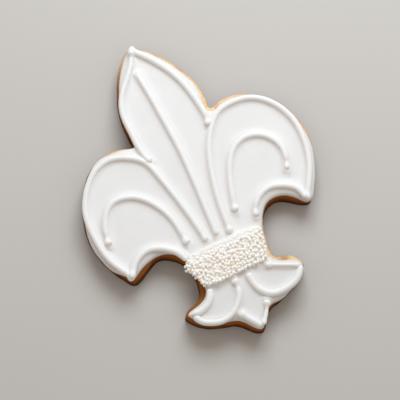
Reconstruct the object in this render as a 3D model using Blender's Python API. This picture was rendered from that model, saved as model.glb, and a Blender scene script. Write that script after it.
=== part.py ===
"""Iced sugar cookie cut as a three-petalled lily.

The cookie lies flat on its underside, the middle petal pointing to +Y.  It is built up the way it is made:
a rolled and cut biscuit, one flood of icing over its top, fifteen piped lines on the flood, and a band of
tiny sugar pearls heaped across the waist.  Shapes are drawn in millimetres and scaled to metres at the end.
"""
import math

import bmesh
import bpy
import numpy as np
from mathutils import Vector
from mathutils.geometry import delaunay_2d_cdt

MM = 0.001                 # drawing millimetres to metres
CENTRE = (1.17, 0.55)      # the drawing's point that becomes the part's origin
GAP = 0.3                  # air between solids that touch on the real cookie

BISCUIT_THICK = 6.0
BISCUIT_EDGE = 0.8         # rounding of the biscuit's top edge
BISCUIT_FOOT = 0.25        # how far the baked foot of the wall spreads past the top edge
FOOT_HEIGHT = 0.48         # where the foot is widest
FOOT_UNDERCUT = 0.4        # how far the underside's edge is tucked in
FLOOD_THICK = 1.9
FLOOD_MARGIN = 0.75        # biscuit left bare round the icing
FLOOD_TUCK = 0.1           # how far the icing's lower edge is tucked in
SHOULDER_WIDTH = 1.4       # the icing's round edge, seen from above
SHOULDER_HEIGHT = 1.05
PIPE_WIDTH = 2.15
PIPE_HEIGHT = 1.7
PIPE_WALL = 0.25           # share of a piped line's height below its dome
PIPE_FOOT = 0.84           # a piped line's width where it sits, against its full width
BLOB_REACH = 1.6           # how far a blob fades into its line, in half widths
TIP_THICKNESS = 0.4        # the least thickness at a line's end, against the usual one
BAND_THICK = 2.1
BAND_WALL = 0.95           # height of the heap at its edge
PEARL = 1.1                # sugar pearl diameter, which sets the lumps of the heap
LUMP_HEIGHT = 0.22
LUMP_JITTER = 0.2
CORNER_SOFTNESS = 0.75     # smoothing length that rounds the cut corners
ROOM_SHARE = 0.8           # how much of the way to its own middle an outline may be moved inward

FLOOD_BOTTOM = BISCUIT_THICK + GAP
FLOOD_TOP = FLOOD_BOTTOM + FLOOD_THICK
PIPE_BOTTOM = FLOOD_TOP + GAP

FINE_STEP = 0.4            # spacing of the points of a smooth run before it is thinned
OUTLINE_COUNT = 176        # points round the biscuit and round the icing
BAND_COUNT = 64            # points round the heap of pearls
TURN_SHARE = 2.2           # length that one radian of turning counts for when points are shared out
PIPE_STEP = 2.3            # spacing of the sections along a piped line
TIP_STEP = 0.35            # place of the second section, in half widths from a line's end
DOME_CORNERS = 6           # corners of the cross-section's dome

# The cut outline, clockwise from the petal's tip.  Each run is one smooth sweep between two corners.
OUTLINE_RUNS = (
    ((0.8, 52.5), (4.2, 50.3), (10.4, 43.0), (14.2, 35.5), (15.8, 28.0), (15.3, 23.2)),
    ((15.8, 22.1), (18.5, 23.3), (22.5, 23.7), (29.5, 21.4), (36.0, 16.0), (40.4, 7.0), (40.6, -3.0),
     (37.2, -12.0), (32.3, -19.3)),
    ((30.4, -19.6), (27.5, -17.5), (24.0, -15.0), (20.5, -14.4), (16.2, -17.0), (13.6, -23.5),
     (12.5, -29.5), (13.4, -32.2), (15.3, -32.5), (17.2, -32.8), (19.0, -34.4), (20.4, -36.9)),
    ((20.4, -38.4), (18.0, -40.7), (12.8, -43.3), (8.5, -44.9), (4.7, -45.8), (2.0, -48.7), (-0.3, -51.6)),
    ((-1.4, -51.6), (-3.8, -49.5), (-6.6, -46.4), (-10.0, -45.1), (-15.5, -43.2), (-19.8, -39.9)),
    ((-21.5, -37.4), (-20.0, -35.9), (-17.4, -35.1), (-14.6, -33.8), (-12.9, -29.5), (-13.2, -23.5),
     (-16.2, -18.4), (-21.3, -16.1), (-26.3, -18.3), (-30.8, -20.4)),
    ((-31.9, -20.0), (-36.0, -12.8), (-38.6, -3.5), (-37.7, 5.5), (-33.2, 15.3), (-27.0, 21.0),
     (-20.5, 22.6), (-15.5, 21.8), (-12.9, 20.7)),
    ((-12.3, 20.8), (-12.6, 25.5), (-12.2, 33.0), (-8.9, 42.7), (-6.0, 47.7), (-3.0, 50.8), (-0.3, 52.7)),
)

# Places where the icing stops short of the usual margin, or runs past it: (x, y, reach, extra margin).
UNEVEN_MARGIN = (
    (7.5, 46.5, 4.0, 0.45),
    (13.0, 38.0, 4.5, 0.45),
    (15.8, 28.0, 3.5, 0.2),
    (15.6, 22.4, 1.1, 0.5),
    (20.5, 23.6, 4.0, 0.7),
    (31.0, 20.5, 3.5, 0.65),
    (36.5, 15.0, 4.5, 0.65),
    (40.3, 4.0, 3.5, 0.4),
    (39.5, -6.0, 4.8, -0.45),
    (35.5, -14.5, 3.5, -0.75),
    (31.5, -20.0, 3.0, -1.1),
    (21.5, -14.6, 3.0, -0.45),
    (15.8, -17.6, 2.6, -0.5),
    (12.7, -30.4, 1.4, 0.5),
    (17.0, -33.4, 2.2, 1.75),
    (16.5, -43.0, 4.2, -1.0),
    (9.0, -44.9, 3.5, -1.0),
    (-0.9, -52.0, 3.0, -0.6),
    (-13.0, -44.5, 5.0, -0.4),
    (-18.5, -36.0, 2.1, 0.5),
    (-13.6, -32.5, 2.6, 1.1),
    (-21.5, -16.2, 2.6, -0.5),
    (-27.0, -18.5, 2.7, 0.5),
    (-35.5, -13.5, 3.0, -0.8),
    (-37.5, -6.0, 6.6, -1.15),
    (-26.5, 20.5, 3.2, -0.3),
    (-20.6, 22.6, 2.0, 0.4),
    (-17.0, 22.2, 2.4, 0.4),
    (-12.6, 28.0, 5.4, -0.5),
    (-6.0, 47.5, 3.2, 0.35),
)

# Piped lines, in the order they are laid.  Each is a centre line, then its thickness against the usual
# one at the start, along the run and at the end: above 1 is a blob, well below 1 a drawn-out point.
PIPED = {
    "piped_lobe_left": (((-30.9, -19.9), (-32.2, -17.4), (-35.2, -11.8), (-36.9, -2.5), (-36.2, 6.5),
                         (-32.2, 13.9), (-27.0, 18.4), (-21.5, 19.5), (-16.4, 17.7), (-12.0, 14.2),
                         (-9.8, 8.4), (-7.7, -0.6), (-5.8, -10.6), (-4.8, -18.4)), 1.4, 0.95, 1.05),
    "piped_lobe_right": (((30.3, -19.8), (32.1, -16.8), (35.8, -10.4), (38.2, -2.5), (38.1, 7.0),
                          (34.0, 15.3), (28.6, 19.4), (22.0, 20.4), (17.1, 19.4), (13.2, 15.9),
                          (9.3, 9.8), (6.5, 2.0), (4.2, -9.5), (3.3, -19.3)), 1.15, 0.95, 1.2),
    "piped_petal_right": (((-0.7, 51.5), (2.4, 48.3), (5.7, 44.0), (9.3, 37.6), (11.7, 30.1),
                           (12.7, 23.5), (12.9, 20.5), (12.3, 16.2)), 1.6, 1.05, 1.2),
    "piped_petal_left": (((0.3, 50.9), (-1.9, 46.6), (-5.5, 42.1), (-9.1, 37.7), (-11.5, 31.5),
                          (-11.6, 25.0), (-11.4, 18.7), (-10.1, 12.9)), 1.2, 0.95, 1.15),
    "piped_vein": (((-1.5, 42.5), (-0.7, 34.0), (-0.2, 25.5), (0.3, 15.0), (0.0, 0.0), (-0.7, -13.1),
                    (-0.9, -18.1)), 0.85, 1.0, 1.0),
    "piped_curl_left": (((-33.7, -6.6), (-32.5, -0.6), (-30.1, 3.7), (-27.0, 5.9), (-23.0, 5.9),
                         (-18.7, 3.9), (-14.5, -0.9), (-11.8, -7.1), (-11.0, -13.0), (-10.7, -16.8)),
                        1.3, 0.95, 1.35),
    "piped_curl_right": (((7.7, -13.6), (9.9, -5.6), (13.1, 2.0), (16.7, 6.2), (21.4, 7.8), (26.1, 6.5),
                          (29.6, 2.8), (30.7, -2.3), (28.9, -8.0)), 1.25, 0.95, 0.95),
    "piped_bay_left": (((-31.7, -19.6), (-27.8, -14.8), (-22.7, -13.2), (-17.9, -15.1), (-14.7, -18.1),
                        (-13.2, -21.5)), 1.15, 1.05, 0.9),
    "piped_bay_right": (((30.4, -19.3), (29.2, -15.1), (25.6, -12.2), (21.5, -10.9), (16.9, -12.1),
                         (14.3, -14.8), (13.0, -17.9)), 0.95, 1.05, 1.1),
    "piped_foot_left_leaf": (((-2.5, -33.2), (-2.2, -35.5), (-2.7, -38.0), (-5.1, -41.4), (-8.0, -43.4),
                              (-11.9, -43.9), (-15.2, -42.8), (-17.8, -40.8), (-18.7, -38.6)),
                             1.25, 0.95, 1.05),
    "piped_foot_right_leaf": (((2.5, -33.5), (2.8, -37.1), (4.0, -40.2), (6.9, -42.7), (10.9, -43.1),
                               (15.8, -41.7), (19.1, -38.4)), 1.15, 1.08, 0.9),
    "piped_foot_left_top": (((-10.8, -32.8), (-11.4, -34.8), (-13.1, -36.9), (-16.0, -38.1),
                             (-20.2, -37.9)), 1.0, 1.15, 0.6),
    "piped_foot_right_top": (((8.7, -33.4), (9.7, -33.8), (11.5, -34.6), (14.4, -36.0), (16.7, -37.1),
                              (18.6, -38.2)), 1.1, 0.7, 0.8),
    "piped_point_left": (((-5.5, -43.8), (-3.1, -47.3), (-0.7, -50.8)), 1.3, 1.0, 0.9),
    "piped_point_right": (((4.3, -43.8), (2.7, -46.8), (0.9, -49.2), (-0.3, -50.6)), 1.25, 0.65, 0.8),
}

# The heap of sugar pearls across the waist, clockwise; its left side hangs a little over the edge.
BAND_RUNS = (
    ((-12.9, -21.2), (-6.0, -19.9), (1.0, -20.2), (7.0, -19.8), (12.9, -21.0)),
    ((12.8, -22.5), (12.0, -26.5), (11.5, -29.0), (10.6, -31.6)),
    ((9.6, -32.4), (4.0, -32.1), (-3.0, -32.4), (-9.0, -32.3), (-12.0, -31.6)),
    ((-12.7, -29.5), (-13.3, -27.0), (-15.0, -24.6), (-14.6, -22.8), (-13.3, -21.6)),
)


def material(name, colour, roughness):
    """A plain food surface: no metal, one colour, one roughness."""
    made = bpy.data.materials.new(name)
    made.use_nodes = True
    shader = made.node_tree.nodes["Principled BSDF"]
    shader.inputs["Base Color"].default_value = (*colour, 1.0)
    shader.inputs["Roughness"].default_value = roughness
    shader.inputs["Metallic"].default_value = 0.0
    made.diffuse_color = (*colour, 1.0)
    return made


def natural_spline(points, step):
    """Points about `step` apart on the natural cubic curve through `points`."""
    knots = np.array(points, float)
    chords = np.linalg.norm(np.diff(knots, axis=0), axis=1)
    at = np.concatenate(([0.0], np.cumsum(chords)))
    count = len(knots)
    system = np.eye(count)
    right = np.zeros_like(knots)
    for i in range(1, count - 1):
        before, after = chords[i - 1], chords[i]
        system[i, i - 1:i + 2] = before, 2.0 * (before + after), after
        right[i] = 6.0 * ((knots[i + 1] - knots[i]) / after - (knots[i] - knots[i - 1]) / before)
    bend = np.linalg.solve(system, right)
    here = np.linspace(0.0, at[-1], max(3, round(at[-1] / step) + 1))
    span = np.clip(np.searchsorted(at, here, side="right") - 1, 0, count - 2)
    width = chords[span][:, None]
    b = (here - at[span])[:, None] / width
    a = 1.0 - b
    curve = a * knots[span] + b * knots[span + 1]
    return curve + ((a ** 3 - a) * bend[span] + (b ** 3 - b) * bend[span + 1]) * width ** 2 / 6.0


def closed_outline(runs):
    """The runs joined end to end into one closed line, with evenly spaced points."""
    pieces = [natural_spline(run, FINE_STEP) for run in runs]
    joined = np.concatenate(pieces)
    return share_out(joined, round(loop_length(joined) / FINE_STEP), 0.0)


def loop_length(loop):
    return np.linalg.norm(np.roll(loop, -1, axis=0) - loop, axis=1).sum()


def share_out(loop, count, turn_share):
    """`count` points round a closed line, closer together where it turns if `turn_share` is above 0."""
    ahead = np.roll(loop, -1, axis=0) - loop
    length = np.linalg.norm(ahead, axis=1)
    heading = np.arctan2(ahead[:, 1], ahead[:, 0])
    turn = np.abs((np.roll(heading, -1) - heading + math.pi) % (2.0 * math.pi) - math.pi)
    weight = np.concatenate(([0.0], np.cumsum(length + turn_share * turn)))
    ring = np.vstack((loop, loop[:1]))
    wanted = np.arange(count) * weight[-1] / count
    return np.column_stack([np.interp(wanted, weight, ring[:, axis]) for axis in (0, 1)])


def soften(loop, length):
    """A closed, evenly spaced line smoothed over `length`, which rounds its corners."""
    count = len(loop)
    step = loop_length(loop) / count
    offsets = np.minimum(np.arange(count), count - np.arange(count)) * step
    kernel = np.exp(-0.5 * (offsets / length) ** 2)
    spread = np.fft.rfft(kernel / kernel.sum())
    return np.column_stack([np.fft.irfft(np.fft.rfft(loop[:, axis]) * spread, count) for axis in (0, 1)])


def inward_normals(loop):
    """Unit normals pointing into a clockwise closed line."""
    along = np.roll(loop, -1, axis=0) - np.roll(loop, 1, axis=0)
    along /= np.linalg.norm(along, axis=1)[:, None]
    return np.column_stack((along[:, 1], -along[:, 0]))


def room_inside(loop):
    """For each point, the radius of the largest disc that touches the line there from inside."""
    normal = inward_normals(loop)
    apart = loop[None, :, :] - loop[:, None, :]
    depth = (apart * normal[:, None, :]).sum(axis=2)
    square = (apart ** 2).sum(axis=2)
    radius = np.where(depth > 1e-6, square / np.maximum(2.0 * depth, 1e-9), np.inf)
    return radius.min(axis=1)


def inset(loop, distance):
    """The line moved inward by `distance` (a number or one for each point), never past its own middle."""
    limit = ROOM_SHARE * room_inside(loop)
    moved = limit * np.tanh(distance / limit)
    return loop + inward_normals(loop) * moved[:, None]


def uneven_margin(loop):
    """How much biscuit is left bare beside the icing at each point of the outline."""
    margin = np.full(len(loop), FLOOD_MARGIN)
    for x, y, reach, extra in UNEVEN_MARGIN:
        away = np.hypot(loop[:, 0] - x, loop[:, 1] - y)
        margin += extra * np.exp(-0.5 * (away / reach) ** 2)
    return margin


def add_object(name, verts, faces, look, collection):
    """One mesh object, from millimetres in the drawing to metres about the part's origin."""
    mesh = bpy.data.meshes.new(name)
    placed = [((x - CENTRE[0]) * MM, (y - CENTRE[1]) * MM, z * MM) for x, y, z in verts]
    mesh.from_pydata(placed, [], faces)
    work = bmesh.new()
    work.from_mesh(mesh)
    bmesh.ops.triangulate(work, faces=work.faces, ngon_method="EAR_CLIP")
    work.to_mesh(mesh)
    work.free()
    mesh.materials.append(look)
    made = bpy.data.objects.new(name, mesh)
    collection.objects.link(made)
    return made


def layered(name, rings, look, collection):
    """A closed body lofted through level rings, each a (closed line, height) pair from the bottom up."""
    count = len(rings[0][0])
    verts = [(x, y, height) for line, height in rings for x, y in line]
    faces = [tuple(range(count))]
    for level in range(len(rings) - 1):
        low = level * count
        high = low + count
        for i in range(count):
            j = (i + 1) % count
            faces.append((low + j, low + i, high + i, high + j))
    top = (len(rings) - 1) * count
    faces.append(tuple(range(top + count - 1, top - 1, -1)))
    return add_object(name, verts, faces, look, collection)


def round_edge(width, rise, top):
    """Levels of a quarter-round edge up to a flat top: (how far inward, height) from the wall up."""
    angles = (0.0, 0.25 * math.pi, 0.5 * math.pi)
    return [(width * (1.0 - math.cos(angle)), top - rise * (1.0 - math.sin(angle))) for angle in angles]


def add_biscuit(outline, look, collection):
    """The baked biscuit: a thick plate with softened edges and a wall that spreads towards its foot."""
    levels = [(FOOT_UNDERCUT, 0.0), (-BISCUIT_FOOT, FOOT_HEIGHT)]
    levels += round_edge(BISCUIT_EDGE, BISCUIT_EDGE, BISCUIT_THICK)
    rings = [(inset(outline, distance), height) for distance, height in levels]
    return layered("biscuit", rings, look, collection)


def add_flood(outline, look, collection):
    """The flood of icing: a flat sheet with a round shoulder, short of the biscuit's edge by its margin."""
    margin = uneven_margin(outline)
    levels = [(FLOOD_TUCK, FLOOD_BOTTOM)]
    levels += round_edge(SHOULDER_WIDTH, SHOULDER_HEIGHT, FLOOD_TOP)
    rings = [(inset(outline, margin + distance), height) for distance, height in levels]
    return layered("icing_flood", rings, look, collection)


def inside(loop, points):
    """Which points lie inside a closed line, by counting the crossings of a ray."""
    x, y = points[:, 0][:, None], points[:, 1][:, None]
    x1, y1 = loop[:, 0], loop[:, 1]
    x2, y2 = np.roll(x1, -1), np.roll(y1, -1)
    level = np.where(np.abs(y2 - y1) < 1e-9, 1e-9, y2 - y1)
    crossing = ((y1 > y) != (y2 > y)) & (x < (x2 - x1) * (y - y1) / level + x1)
    return crossing.sum(axis=1) % 2 == 1


def distance_to(loop, points):
    return np.linalg.norm(points[:, None, :] - loop[None, :, :], axis=2).min(axis=1)


def add_band(look, collection):
    """The heap of sugar pearls as one lumpy body, out to its uneven outline."""
    edge = share_out(soften(closed_outline(BAND_RUNS), PEARL), BAND_COUNT, TURN_SHARE)
    chance = np.random.default_rng(11)
    spacing = 1.5 * PEARL
    low, high = edge.min(axis=0), edge.max(axis=0)
    columns = np.arange(low[0], high[0], spacing)
    rows = np.arange(low[1], high[1], spacing * math.sin(math.radians(60.0)))
    grid = np.array([(x + 0.5 * spacing * (i % 2), y) for i, y in enumerate(rows) for x in columns])
    grid += chance.uniform(-LUMP_JITTER, LUMP_JITTER, grid.shape)
    grid = grid[inside(edge, grid)]
    grid = grid[distance_to(edge, grid) > PEARL]
    rise = np.sqrt(np.minimum(1.0, distance_to(edge, grid) / (2.0 * PEARL)))
    lump = chance.uniform(-LUMP_HEIGHT, LUMP_HEIGHT, len(grid))
    flat = np.vstack((edge, grid))
    count = len(edge)
    loop_edges = [(i, (i + 1) % count) for i in range(count)]
    spots, _, triangles, _, _, _ = delaunay_2d_cdt([Vector(p) for p in flat], loop_edges, [], 1, 1e-5)
    heights = np.concatenate((np.full(count, BAND_WALL), BAND_WALL + (BAND_THICK - BAND_WALL) * rise + lump))
    verts = [(p.x, p.y, PIPE_BOTTOM + h) for p, h in zip(spots, heights)]
    verts += [(x, y, PIPE_BOTTOM) for x, y in edge]
    base = len(spots)
    faces = [tuple(face) for face in triangles]
    for i, j in loop_edges:
        faces.append((i, j, base + j, base + i))
    faces.append(tuple(range(base, base + count)))
    return add_object("pearl_band", verts, faces, look, collection), edge


def pipe_profile(collection):
    """The cross-section of a piped line: flat underneath, a low dome above."""
    half = 0.5 * PIPE_WIDTH
    corners = []
    for i in range(DOME_CORNERS):
        angle = math.pi * (1.0 - i / (DOME_CORNERS - 1))
        height = PIPE_WALL + (1.0 - PIPE_WALL) * math.sin(angle)
        corners.append((half * math.cos(angle), PIPE_HEIGHT * height))
    corners += [(half * PIPE_FOOT, 0.0), (-half * PIPE_FOOT, 0.0)]
    shape = bpy.data.curves.new("pipe_profile", "CURVE")
    spline = shape.splines.new("POLY")
    spline.points.add(len(corners) - 1)
    for point, (x, z) in zip(spline.points, corners):
        point.co = (x * MM, z * MM, 0.0, 1.0)
    spline.use_cyclic_u = True
    made = bpy.data.objects.new("pipe_profile", shape)
    made.hide_render = True
    made.display_type = "WIRE"
    collection.objects.link(made)
    return made


def keep_clear(route, reach, laid, band_edge):
    """The longest stretch of a route that stays clear of the lines already laid and of the pearls."""
    free = ~inside(band_edge, route)
    free &= distance_to(band_edge, route) > reach + GAP
    for other, other_reach in laid:
        free &= distance_to(other, route) > reach + other_reach + GAP
    best, start = (0, 0), None
    for i, clear in enumerate([*free, False]):
        if clear and start is None:
            start = i
        if not clear and start is not None:
            best = max(best, (i - start, start))
            start = None
    length, first = best
    return route[first:first + length]


def pipe_thickness(along, total, start, middle, end):
    """Thickness factor at a distance along a line: blobs fade into the run, and both ends round off."""
    reach = 0.5 * PIPE_WIDTH
    blend_in = math.exp(-((along / (BLOB_REACH * reach)) ** 2))
    blend_out = math.exp(-(((total - along) / (BLOB_REACH * reach)) ** 2))
    factor = middle + (start - middle) * blend_in + (end - middle) * blend_out
    near = min(along, total - along) / reach
    rounding = math.sqrt(1.0 - (1.0 - min(near, 1.0)) ** 2)
    return factor * max(TIP_THICKNESS, rounding)


def add_pipe(name, route, factors, profile, look, collection):
    """One piped line: the profile swept along the route, thick or thin as its factors say."""
    length = np.concatenate(([0.0], np.cumsum(np.linalg.norm(np.diff(route, axis=0), axis=1))))
    total = length[-1]
    reach = 0.5 * PIPE_WIDTH
    inner = np.linspace(reach, total - reach, max(2, round((total - 2.0 * reach) / PIPE_STEP) + 1))
    stops = [0.0, TIP_STEP * reach, *inner, total - TIP_STEP * reach, total]
    shape = bpy.data.curves.new(name, "CURVE")
    shape.dimensions = "3D"
    shape.twist_mode = "Z_UP"
    shape.bevel_mode = "OBJECT"
    shape.bevel_object = profile
    shape.use_fill_caps = True
    shape.resolution_u = 1
    spline = shape.splines.new("POLY")
    spline.points.add(len(stops) - 1)
    for point, stop in zip(spline.points, stops):
        x, y = (np.interp(stop, length, route[:, axis]) for axis in (0, 1))
        point.co = ((x - CENTRE[0]) * MM, (y - CENTRE[1]) * MM, PIPE_BOTTOM * MM, 1.0)
        point.radius = pipe_thickness(stop, total, *factors)
    shape.materials.append(look)
    made = bpy.data.objects.new(name, shape)
    collection.objects.link(made)
    return made


def add_piping(band_edge, profile, look, collection):
    """All the piped lines, each stopped a hair short of whatever was laid before it."""
    laid = []
    made = []
    for name, (points, start, middle, end) in PIPED.items():
        reach = 0.5 * PIPE_WIDTH * max(start, middle, end)
        route = keep_clear(natural_spline(points, FINE_STEP), reach, laid, band_edge)
        laid.append((route, reach))
        made.append(add_pipe(name, route, (start, middle, end), profile, look, collection))
    return made


def main():
    for item in list(bpy.data.objects):
        bpy.data.objects.remove(item)
    cookie = bpy.data.collections.new("iced_cookie")
    guides = bpy.data.collections.new("guides")
    for collection in (cookie, guides):
        bpy.context.scene.collection.children.link(collection)

    baked = material("baked biscuit", (0.62, 0.36, 0.14), 0.75)
    flood = material("flood icing", (0.86, 0.85, 0.83), 0.45)
    piping = material("piped icing", (0.93, 0.92, 0.90), 0.4)
    sugar = material("sugar pearls", (0.90, 0.87, 0.78), 0.3)

    fine = soften(closed_outline(OUTLINE_RUNS), CORNER_SOFTNESS)
    outline = share_out(fine, OUTLINE_COUNT, TURN_SHARE)
    pieces = [add_biscuit(outline, baked, cookie), add_flood(outline, flood, cookie)]
    band, band_edge = add_band(sugar, cookie)
    pieces.append(band)
    pieces += add_piping(band_edge, pipe_profile(guides), piping, cookie)

    root = bpy.data.objects.new("cookie", None)
    cookie.objects.link(root)
    for piece in pieces:
        piece.parent = root


main()
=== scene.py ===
# %% [markdown]
# # An iced sugar cookie, finished by hand
# The plain model of the cookie is already packed: a biscuit, a flood of icing, fifteen piped lines and one
# lumpy solid for the band of sugar pearls.  This lesson dresses it.  Each CAD piece gives its place and its
# outline, and a finer mesh made here stands in for it, with a finish of its own.
# Shapes are worked out in millimetres, because a cookie is a small thing, and become metres in one place.

# %% Load the frame
import math

import bmesh
import bpy
import numpy as np
from mathutils import Matrix, Vector, noise
from mathutils.geometry import delaunay_2d_cdt
from mathutils.kdtree import KDTree


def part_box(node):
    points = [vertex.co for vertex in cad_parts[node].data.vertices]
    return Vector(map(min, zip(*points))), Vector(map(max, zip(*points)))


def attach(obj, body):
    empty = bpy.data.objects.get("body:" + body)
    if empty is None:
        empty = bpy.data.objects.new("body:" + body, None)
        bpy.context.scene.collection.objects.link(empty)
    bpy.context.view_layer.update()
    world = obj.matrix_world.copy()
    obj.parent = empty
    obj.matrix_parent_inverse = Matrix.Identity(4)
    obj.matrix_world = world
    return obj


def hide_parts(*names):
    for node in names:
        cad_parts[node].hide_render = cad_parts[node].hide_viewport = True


MM = 0.001

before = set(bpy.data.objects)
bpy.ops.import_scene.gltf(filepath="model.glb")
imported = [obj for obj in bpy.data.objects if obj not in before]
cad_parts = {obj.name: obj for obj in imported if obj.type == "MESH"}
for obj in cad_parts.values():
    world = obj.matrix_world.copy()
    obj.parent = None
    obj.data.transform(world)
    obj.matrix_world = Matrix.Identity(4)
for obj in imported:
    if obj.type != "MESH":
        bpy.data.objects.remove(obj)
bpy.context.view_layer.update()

# %% [markdown]
# ## Levels
# A cookie is built in layers, so its heights come first.  They are read from the plain model: the top of
# the biscuit and the top of the flood.  The finished flood stands a little higher than the plain one.

# %% Read the levels


def span(node):
    """Lowest and highest corner of a CAD node, in millimetres."""
    return tuple(np.array(corner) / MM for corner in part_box(node))


FLOOD_EXTRA = 0.1
BISCUIT_TOP = span("biscuit")[1][2]
FLOOD_TOP = span("icing_flood")[1][2] + FLOOD_EXTRA
print(f"the biscuit reaches {BISCUIT_TOP:.2f} mm and the flood {FLOOD_TOP:.2f} mm")

# %% [markdown]
# ## Outlines
# The cut edge of the biscuit, the edge of the icing and the edge of the pearls are closed lines.  The plain
# model holds each of them as one level ring of a few dozen points.  They could be drawn again by hand, but
# then the two models might drift apart, so the ring is walked on the plain mesh and a smooth curve is run
# through it.  A short Gaussian blur takes away the last of the facets.

# %% Walk a level ring of a plain mesh


def level_ring(node, height):
    """The closed line of a node's vertices at the level nearest to a height, clockwise, as flat points."""
    work = bmesh.new()
    work.from_mesh(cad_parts[node].data)
    bmesh.ops.remove_doubles(work, verts=work.verts, dist=1e-6)
    level = min((v.co.z for v in work.verts), key=lambda z: abs(z / MM - height))
    ring = {v for v in work.verts if abs(v.co.z - level) < 1e-6}
    on_flat = {face for face in work.faces if ring.issuperset(face.verts)}
    here = min(ring, key=lambda v: tuple(v.co))
    line = []
    while here is not None:
        line.append(here)
        ring.discard(here)
        rim = [edge for edge in here.link_edges if not on_flat.issuperset(edge.link_faces)]
        beside = [edge.other_vert(here) for edge in rim]
        here = next((v for v in beside if v in ring), None)
    if ring:
        raise ValueError(f"{node} has no single closed ring near {height} mm")
    flat = np.array([v.co.xy for v in line]) / MM
    work.free()
    ahead = np.roll(flat, -1, axis=0)
    area = 0.5 * (flat[:, 0] * ahead[:, 1] - flat[:, 1] * ahead[:, 0]).sum()
    return flat[::-1] if area > 0 else flat


def loop_length(loop):
    return np.linalg.norm(np.roll(loop, -1, axis=0) - loop, axis=1).sum()


def share_out(loop, spacing):
    """Evenly spaced points round a closed line."""
    ring = np.vstack((loop, loop[:1]))
    along = np.concatenate(([0.0], np.cumsum(np.linalg.norm(np.diff(ring, axis=0), axis=1))))
    wanted = np.linspace(0.0, along[-1], round(along[-1] / spacing), endpoint=False)
    return np.column_stack([np.interp(wanted, along, ring[:, axis]) for axis in (0, 1)])


def blur(loop, values, length):
    """Values at evenly spaced points round a closed line, blurred over a length."""
    count = len(loop)
    step = loop_length(loop) / count
    offsets = np.minimum(np.arange(count), count - np.arange(count)) * step
    kernel = np.exp(-0.5 * (offsets / length) ** 2)
    spread = np.fft.rfft(kernel / kernel.sum())
    return np.fft.irfft(np.fft.rfft(values) * spread, count)


def smooth_loop(points, spacing, softness):
    """Evenly spaced points on the closed Catmull-Rom curve through a ring, blurred a little."""
    p0, p1, p2, p3 = (np.roll(points, shift, axis=0)[:, None, :] for shift in (1, 0, -1, -2))
    t = np.linspace(0.0, 1.0, 8, endpoint=False)[None, :, None]
    cubic = (3.0 * p1 - p0 - 3.0 * p2 + p3) * t ** 3
    square = (2.0 * p0 - 5.0 * p1 + 4.0 * p2 - p3) * t ** 2
    dense = 0.5 * (2.0 * p1 + (p2 - p0) * t + square + cubic)
    even = share_out(dense.reshape(-1, 2), spacing)
    return np.column_stack([blur(even, even[:, axis], softness) for axis in (0, 1)])


EDGE_STEP = 0.36
biscuit_edge = smooth_loop(level_ring("biscuit", 0.85 * BISCUIT_TOP), EDGE_STEP, 0.35)
flood_edge = smooth_loop(level_ring("icing_flood", BISCUIT_TOP + 1.1), EDGE_STEP, 0.35)
band_edge = smooth_loop(level_ring("pearl_band", FLOOD_TOP), EDGE_STEP, 0.5)
for title, loop in (("biscuit", biscuit_edge), ("flood", flood_edge), ("band", band_edge)):
    print(f"{title} edge: {len(loop)} points round {loop_length(loop):.0f} mm")

# %% [markdown]
# ## Moving a line inward, and asking where a point is
# A rounded edge is a set of copies of one outline, each moved inward a little.  At a sharp tip a copy must
# not pass its own middle, so each point first asks how large a disc fits there.

# %% Outline helpers


def inward_normals(loop):
    """Unit normals pointing into a clockwise closed line."""
    along = np.roll(loop, -1, axis=0) - np.roll(loop, 1, axis=0)
    along /= np.linalg.norm(along, axis=1)[:, None]
    return np.column_stack((along[:, 1], -along[:, 0]))


def room_inside(loop):
    """For each point, the radius of the largest disc that touches the line there from inside."""
    normal = inward_normals(loop)
    apart = loop[None, :, :] - loop[:, None, :]
    depth = (apart * normal[:, None, :]).sum(axis=2)
    square = (apart ** 2).sum(axis=2)
    radius = np.where(depth > 1e-6, square / np.maximum(2.0 * depth, 1e-9), np.inf)
    return radius.min(axis=1)


def inset(loop, distance):
    """The line moved inward by a distance (one number, or one for each point), never past its middle."""
    limit = 0.8 * room_inside(loop)
    return loop + inward_normals(loop) * (limit * np.tanh(distance / limit))[:, None]


def inside(loop, points):
    """Which points lie inside a closed line, by counting the crossings of a ray."""
    x, y = points[:, 0][:, None], points[:, 1][:, None]
    x1, y1 = loop[:, 0], loop[:, 1]
    x2, y2 = np.roll(x1, -1), np.roll(y1, -1)
    rise = np.where(np.abs(y2 - y1) < 1e-9, 1e-9, y2 - y1)
    crossing = ((y1 > y) != (y2 > y)) & (x < (x2 - x1) * (y - y1) / rise + x1)
    return crossing.sum(axis=1) % 2 == 1


class Near:
    """Finds, for any flat point, the nearest point of a line."""

    def __init__(self, line):
        self.tree = KDTree(len(line))
        for i, (x, y) in enumerate(line):
            self.tree.insert((x, y, 0.0), i)
        self.tree.balance()

    def __call__(self, points):
        """Distances to the line, and which of its points is nearest."""
        found = [self.tree.find((x, y, 0.0)) for x, y in points]
        return np.array([f[2] for f in found]), np.array([f[1] for f in found])


def wander(points, size, seed, depth=2):
    """Smooth noise at flat points: about -1 to 1, with lumps of a given size in millimetres."""
    shift = Vector((seed * 17.3, seed * 5.9, seed * 2.1))
    return np.array([noise.fractal(Vector((x, y, 0.0)) / size + shift, 1.0, 2.0, depth) for x, y in points])


print(f"the biscuit's tightest tip takes a disc of {room_inside(biscuit_edge).min():.2f} mm radius")

# %% [markdown]
# ## A slab with a crown
# The biscuit, the flood and the bed under the pearls are all the same kind of thing: a flat body with a
# wall, a soft edge and an uneven top.  One function makes them.  It takes rings for the wall, from the
# bottom up, and points for the top with a rule for their height, fills top and bottom with a Delaunay
# triangulation, and closes the whole.

# %% Build a slab


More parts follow.
